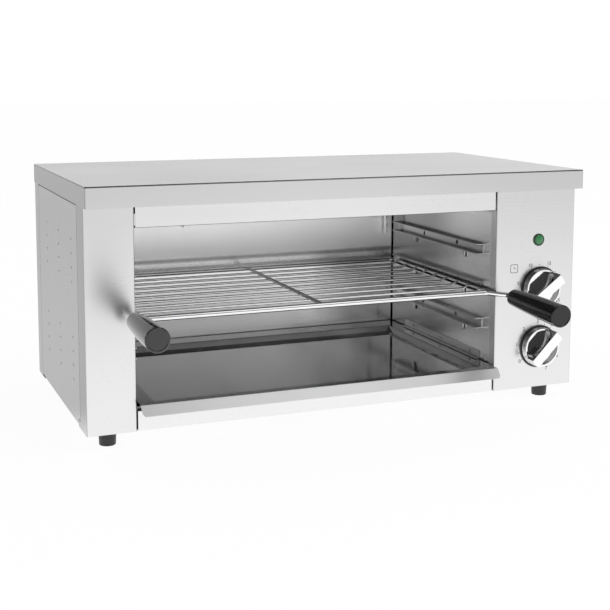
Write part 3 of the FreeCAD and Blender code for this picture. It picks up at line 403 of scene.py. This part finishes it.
def brushed_steel(name, tone, rough, stretch=0.7, top_painted_light=1.0, side=1.0, fold_painted_shade=1.0, shade_behind_front=None, mouth_light=None,
                  grooved=False, rack_line_painted=False):
    """Sheet steel with a level grain, so that its reflections are drawn out upright.

    Top, side and fold give painted light and shade: the tones of the upper faces, the side faces and the
    folds along an edge, as shares of the front's tone; upright corners and the ends of folds on side faces
    are painted darker too. Inner is painted shade: the share that is left behind the front. Near is painted
    light: the tone at the mouth of the opening, as a share of that at its back. A grooved sheet has painted
    shade in the groove along its top. The back wall's flag gives a painted reflection of the rack's front
    rod as a dark line, with painted shade fading upward above it, and an upright grain and more roughness
    above the line.
    """
    material, t = new_material(name)
    x, y, z = t.parts("Object", "XYZ")
    across, upward = (t.size(part) for part in t.parts("Normal", "XZ"))
    along_grain = t.plus(t.times(x, t.rest(across)), t.times(y, across))
    over_grain = t.plus(t.times(z, t.rest(upward)), t.times(y, upward))

    def lines(along, over, seed):
        spot = t.add("CombineXYZ", {0: t.times(along_grain, along), 1: t.times(over_grain, over), 2: seed})
        return t.noise(1.0, spot=spot.outputs[0])

    streaks = lines(*streak)
    grain = t.plus(t.times(lines(*hair), hair_share), t.times(streaks, streak_share))
    cloud = t.noise(*steel_cloud)
    # Painted light and shade by the turn of each face: lighter or darker upper and side faces, darker folds
    # and upright corners, and painted shade in crevices
    folded = t.times(t.ramp(upward, fold_start, unit), t.ramp(upward, fold_end, falling))
    cornered = t.times(t.ramp(across, corner_start, unit), t.ramp(across, corner_end, falling),
                       t.ramp(upward, corner_level, falling))
    level = t.times(t.ramp(grain, middle, spread(tone, grain_contrast)),
                    t.ramp(upward, flat_turn, (1.0, top_painted_light)), t.ramp(across, flat_turn, (1.0, side)),
                    t.ramp(folded, unit, (1.0, fold_painted_shade)),
                    t.ramp(t.times(folded, across), fold_end_turn, (1.0, fold_end_painted_shade)),
                    t.ramp(cornered, unit, (1.0, corner_painted_shade)), crevice(t, steel_crevice_shade))
    roughness = t.plus(t.ramp(cloud, middle, spread(rough, cloud_rough)),
                       t.ramp(streaks, middle, (-streak_rough * rough, streak_rough * rough)))
    # Painted shade on what lies behind the front sheet
    if shade_behind_front:
        level = t.times(level, t.ramp(y, behind_front, (1.0, shade_behind_front)))
    # Painted light at the mouth of the opening, fading towards the back
    if mouth_light:
        level = t.times(level, t.ramp(y, mouth_to_back, (mouth_light, 1.0), smooth=True))
    # Painted shade in the groove under the lid
    if grooved:
        level = t.times(level, t.ramp(z, (groove_z, groove_z + groove_edge), (1.0, groove_shade)))
    tangent = t.add("CombineXYZ", {0: 0.0, 1: grain_tilt, 2: 1.0})
    # Painted reflection of the rack's front rod as a dark line, with painted shade fading upward above it;
    # above the line the grain turns upright and the roughness rises
    if rack_line_painted:
        above = t.ramp(z, (rack_line_z, rack_line_z + rack_line_edge), unit)
        from_line = t.size(t.math("SUBTRACT", z, rack_line_z))
        fading = t.ramp(z, (rack_line_z, rack_line_z + rack_shade_reach), (rack_shade_tone, 1.0), smooth=True)
        level = t.times(level, t.ramp(from_line, rack_line_half, (rack_reflection_tone, 1.0), smooth=True),
                        t.plus(t.times(above, fading), t.rest(above)))
        roughness = t.plus(roughness, t.times(above, above_line_rough))
        t.put(tangent.inputs[0], above)
        t.put(tangent.inputs[2], t.rest(above))
    t.finish("Material", t.add("BsdfPrincipled", {
        "Base Color": t.grey(level), "Metallic": 1.0, "Roughness": roughness, "Anisotropic": stretch,
        "Normal": t.bump(streaks, steel_bump), "Tangent": tangent.outputs[0]}))
    return material


def pressed_tray(name):
    """Smooth darkened sheet, darker on its rim, matt on its back slope and bright on its lip, with painted
    light and shade: lighter to the right and along a slanting band, darker towards the back, on its side
    slopes and in its crevices, and lighter on its back slope.
    """
    material, t = new_material(name)
    x, y, z = t.parts("Object", "XYZ")
    across, forward = t.parts("Normal", "XY")
    # Painted shade on the side slopes and painted light on the back slope
    painted_slope_tone = t.times(t.ramp(t.size(across), tray_side_turn, tray_side_shade),
                    t.ramp(forward, tray_back_turn, tray_back_light))
    lip = t.ramp(y, tray_lip_ys, falling)
    rim = t.ramp(z, tray_rim_zs, tray_rim_tone)
    cloud = t.noise(tray_cloud_scale, noise_detail)
    matt = t.times(t.ramp(forward, tray_back_turn, tray_back_rough), t.rest(lip))
    smooth = t.plus(t.ramp(lip, unit, tray_rough), t.ramp(cloud, middle, tray_cloud_rough))
    # Painted light along a slanting band to the right, and painted shade towards the back
    over = t.math("SUBTRACT", x, t.times(y, tray_band_slant))
    painted_band_light = t.times(t.ramp(over, tray_band_run, tray_band_light, smooth=True),
                   t.ramp(y, tray_ys, tray_depth_shade))
    # Painted light from left to right, then the rim, the painted slope and band tones, random cloud and
    # painted crevice shade
    inside = t.times(t.ramp(x, tray_xs, tray_painted_light), rim, painted_slope_tone, painted_band_light,
                     t.ramp(cloud, middle, tray_cloud_tone), crevice(t, tray_crevice_shade))
    t.finish("Material", t.add("BsdfPrincipled", {
        "Base Color": t.mix(lip, t.grey(inside), grey(tray_lip_tone)), "Metallic": 1.0,
        "Roughness": t.plus(smooth, matt),
        "Normal": t.bump(t.noise(tray_fine_scale), tray_bump)}))
    return material


def polished(name, colour, rough, uneven=0.3, scale=plate_cloud_scale, metal=1.0, shaded_side=None):
    """Plated or polished metal, faintly uneven, with painted shade on faces turned to its shaded side, if it
    has one.
    """
    material, t = new_material(name)
    cloud = t.noise(scale, noise_detail)
    fine = t.noise(scale * plate_fine_ratio)
    high = tuple(min(c * plate_lift, 1.0) for c in colour[:3]) + (1.0,)
    shown = t.mix(t.ramp(cloud, plate_cloud, unit), colour, high)
    # Painted shade on faces turned towards the given side
    if shaded_side:
        across, upward = t.parts("Normal", "XZ")
        turned = t.plus(t.times(across, shaded_side[0]), t.times(upward, shaded_side[1]))
        shown = t.mix(t.ramp(turned, shade_turn, unit, smooth=True), shown, grey(painted_shade_tone))
    t.finish("Material", t.add("BsdfPrincipled", {
        "Base Color": shown, "Metallic": metal, "Roughness": t.ramp(fine, middle, spread(rough, uneven)),
        "Normal": t.bump(fine, plate_bump)}))
    return material


def moulded(name, colour, rough, texture=0.1, scale=900.0, gloss=0.0, shine=0.5):
    """Moulded plastic, rubber or ceramic with a fine surface texture."""
    material, t = new_material(name)
    cloud = t.noise(mould_cloud_scale, noise_detail)
    fine = t.noise(scale, noise_detail)
    low = tuple(c * (1 - mould_spread) for c in colour) + (1.0,)
    high = tuple(min(c * (1 + mould_spread), 1.0) for c in colour) + (1.0,)
    t.finish("Material", t.add("BsdfPrincipled", {
        "Base Color": t.mix(t.ramp(cloud, middle, unit), low, high),
        "Roughness": t.ramp(cloud, middle, spread(rough, mould_rough_spread)),
        "Coat Weight": gloss, "Coat Roughness": mould_coat_rough, "Specular IOR Level": shine,
        "Normal": t.bump(fine, texture)}))
    return material


def lens_green(name):
    """Clear green plastic with a faint glow inside it."""
    material, t = new_material(name)
    cloud = t.noise(lens_cloud_scale)
    t.finish("Material", t.add("BsdfPrincipled", {
        "Base Color": t.mix(cloud, lens_dark, lens_light), "Roughness": 0.22,
        "Coat Weight": 0.3, "Coat Roughness": 0.05, "Subsurface Weight": 0.15, "Subsurface Scale": 0.002,
        "Normal": t.bump(cloud, lens_bump, lens_bump_depth)}))
    return material


def make_finishes():
    """The material of each slot in the record, and of the nodes that get their own copy; the steel copies
    are lighter or darker by where light falls on each, which is painted light and shade.
    """
    grip = (0.008, 0.008, 0.009)
    sheath = (0.12, 0.115, 0.10, 1.0)
    brass = (0.72, 0.52, 0.22, 1.0)
    # Tones that differ between places of the same steel are painted light and shade
    return {
        "case_steel": brushed_steel("case_steel", tone=0.80, rough=0.28),
        "lid": brushed_steel("lid_steel", tone=0.70, rough=0.26, top_painted_light=1.23, fold_painted_shade=0.28),
        "left_side_panel": brushed_steel("side_steel", tone=0.80, rough=0.28, grooved=True),
        "right_side_panel": brushed_steel("side_steel_right", tone=0.70, rough=0.28, grooved=True),
        "left_column": brushed_steel("column_steel", tone=0.76, rough=0.28, side=0.86),
        "control_panel": brushed_steel("panel_steel", tone=0.75, rough=0.28),
        "top_rail": brushed_steel("rail_steel", tone=0.83, rough=0.28, fold_painted_shade=0.30, shade_behind_front=0.12),
        "cavity_steel": brushed_steel("cavity_steel", tone=0.84, rough=0.18),
        "back_wall": brushed_steel("back_wall_steel", tone=0.98, rough=0.20, stretch=0.85, rack_line_painted=True),
        # The right wall is a darker copy, painted shade, with painted light at its mouth
        "right_wall": brushed_steel("right_wall_steel", tone=0.36, rough=0.20, mouth_light=2.2),
        "tray_steel": pressed_tray("tray_steel"),
        "runner_steel": brushed_steel("runner_steel", tone=0.55, rough=0.25, stretch=0.4),
        "rack_plate": polished("rack_plate", grey(0.78), rough=0.11),
        "rack_centre_bar": polished("centre_bar_plate", grey(0.45), rough=0.2),
        "grip_black": moulded("grip_black", grip, rough=0.10, texture=0.01, scale=300.0, gloss=0.5),
        "right_grip": moulded("right_grip_black", grip, rough=0.12, texture=0.01, scale=300.0, gloss=0.15,
                              shine=0.4),
        "element_sheath": polished("element_sheath", sheath, rough=0.5, uneven=0.2, scale=120.0,
                                   metal=0.8),
        "ceramic": moulded("ceramic", (0.80, 0.78, 0.72), rough=0.7, texture=0.2),
        "terminal_brass": polished("terminal_brass", brass, rough=0.3, scale=90.0),
        "zinc_fastener": polished("zinc_fastener", grey(0.58), rough=0.32),
        # The knobs' chrome has painted shade on faces turned up and to the left
        "knob_chrome": polished("knob_chrome", grey(0.80), rough=0.07, shaded_side=(-0.66, 0.75)),
        "bezel_black": moulded("bezel_black", (0.015, 0.015, 0.016), rough=0.25, texture=0.05),
        "switch_case": moulded("switch_case", (0.62, 0.58, 0.47), rough=0.5),
        "lamp_black": moulded("lamp_black", (0.010, 0.050, 0.020), rough=0.2, texture=0.03),
        "lamp_green": lens_green("lamp_green"),
        "gland_black": moulded("gland_black", (0.03, 0.03, 0.03), rough=0.45, texture=0.2),
        "wire_sleeve": moulded("wire_sleeve", (0.35, 0.05, 0.04), rough=0.5),
        "foot_rubber": moulded("foot_rubber", (0.028, 0.028, 0.03), rough=0.42, texture=0.25),
        "print": moulded("print_grey", (0.04, 0.04, 0.04), rough=0.5),
    }


def dress_nodes(finishes):
    """Gives every CAD node its own material, or else that of its slot."""
    for part in frame["record"]["subparts"]:
        mesh = nodes[part["node"]].data
        mesh.materials.clear()
        mesh.materials.append(finishes.get(part["node"], finishes[part["material_slot"]]))


def add_print(name, mesh, material):
    mesh.materials.append(material)
    piece = bpy.data.objects.new(name, mesh)
    bpy.context.scene.collection.objects.link(piece)
    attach(piece, "cabinet")


def add_outlines(name, outlines, material):
    """Closed outlines on the panel's front, given as x and z, raised into thin solids."""
    shape = bmesh.new()
    for points in outlines:
        back = [shape.verts.new((x, panel_front, z)) for x, z in points]
        front = [shape.verts.new((x, panel_front - print_rise, z)) for x, z in points]
        shape.faces.new(front)
        shape.faces.new(list(reversed(back)))
        for k in range(len(points)):
            n = (k + 1) % len(points)
            shape.faces.new((back[k], back[n], front[n], front[k]))
    bmesh.ops.recalc_face_normals(shape, faces=shape.faces)
    mesh = bpy.data.meshes.new(name)
    shape.to_mesh(mesh)
    shape.free()
    add_print(name, mesh, material)


def add_number(name, text, centre, material):
    """A plain number printed on the panel, its centre given as x and z."""
    data = bpy.data.curves.new(name, "FONT")
    data.body = text
    data.size = digit_height * font_share
    data.offset = digit_height * bold_share
    data.align_x = "CENTER"
    data.align_y = "CENTER"
    data.extrude = print_rise / 2
    holder = bpy.data.objects.new("text", data)
    bpy.context.scene.collection.objects.link(holder)
    place = Matrix.Translation((centre[0], panel_front - print_rise / 2, centre[1]))
    holder.matrix_world = place @ Matrix.Rotation(quarter_turn, 4, "X")
    bpy.context.view_layer.update()
    mesh = bpy.data.meshes.new_from_object(holder)
    mesh.transform(holder.matrix_world)
    bpy.data.objects.remove(holder)
    add_print(name + "_" + text, mesh, material)


def polar(centre, radius, degrees):
    a = math.radians(degrees)
    return (centre[0] + radius * math.cos(a), centre[1] + radius * math.sin(a))


def dot(centre, sides=20):
    return [polar(centre, dot_r, 360 * k / sides) for k in range(sides)]


def tick(centre, degrees):
    """A radial stroke round a dial."""
    a = math.radians(degrees)
    side = (-math.sin(a) * line_width / 2, math.cos(a) * line_width / 2)
    low, high = (polar(centre, radius, degrees) for radius in tick_rs)
    return [(low[0] - side[0], low[1] - side[1]), (high[0] - side[0], high[1] - side[1]),
            (high[0] + side[0], high[1] + side[1]), (low[0] + side[0], low[1] + side[1])]


def clock_sign(centre, half, width):
    """A plain clock sign: a rounded square line, open by a hair at one side, and two hands."""
    squareness = 6
    steps = 60
    sweep = 359.5
    long_hand = half * 0.5
    short_hand = half * 0.4
    loops = []
    for size in (half, half - width):
        loop = []
        for k in range(steps):
            degrees = sweep * k / (steps - 1)
            a = math.radians(degrees)
            bulge = (abs(math.cos(a)) ** squareness + abs(math.sin(a)) ** squareness) ** (1 / squareness)
            loop.append(polar(centre, size / bulge, degrees))
        loops.append(loop)
    x, z = centre
    w = width / 2
    hands = [(x - w, z + long_hand), (x + w, z + long_hand), (x + w, z + w), (x + short_hand, z + w),
             (x + short_hand, z - w), (x - w, z - w)]
    return [loops[0] + list(reversed(loops[1])), hands]


def dial(centre, numbers, start, step, dot_ring_r, number_ring_r):
    """A dial's strokes, the dots half way between them, and its numbers with their places.

    Start is the first number's angle and step the angle between two, in degrees,
    and they run clockwise.
    """
    marks = []
    words = []
    for k, number in enumerate(numbers):
        angle = start - step * k
        marks.append(tick(centre, angle))
        words.append((str(number), polar(centre, number_ring_r, angle)))
        if k < len(numbers) - 1:
            marks.append(dot(polar(centre, dot_ring_r, angle - step / 2)))
    return marks, words


def print_dials(ink):
    timer_marks, timer_words = dial(timer_centre, range(0, 31, 5), start=217, step=50,
                                    dot_ring_r=0.0280, number_ring_r=0.0313)
    power_marks, power_words = dial(power_centre, range(8), start=213, step=40,
                                    dot_ring_r=0.0276, number_ring_r=0.0308)
    sign = clock_sign(clock_centre, clock_half, line_width)
    add_outlines("dial_marks", sign + timer_marks + power_marks, ink)
    for name, words in (("timer_number", timer_words), ("power_number", power_words)):
        for text, centre in words:
            add_number(name, text, centre, ink)


bpy.context.scene.view_settings.view_transform = "Standard"
add_camera()
add_world()
add_floor()
add_lamp()
finishes = make_finishes()
dress_nodes(finishes)
print_dials(finishes["print"])
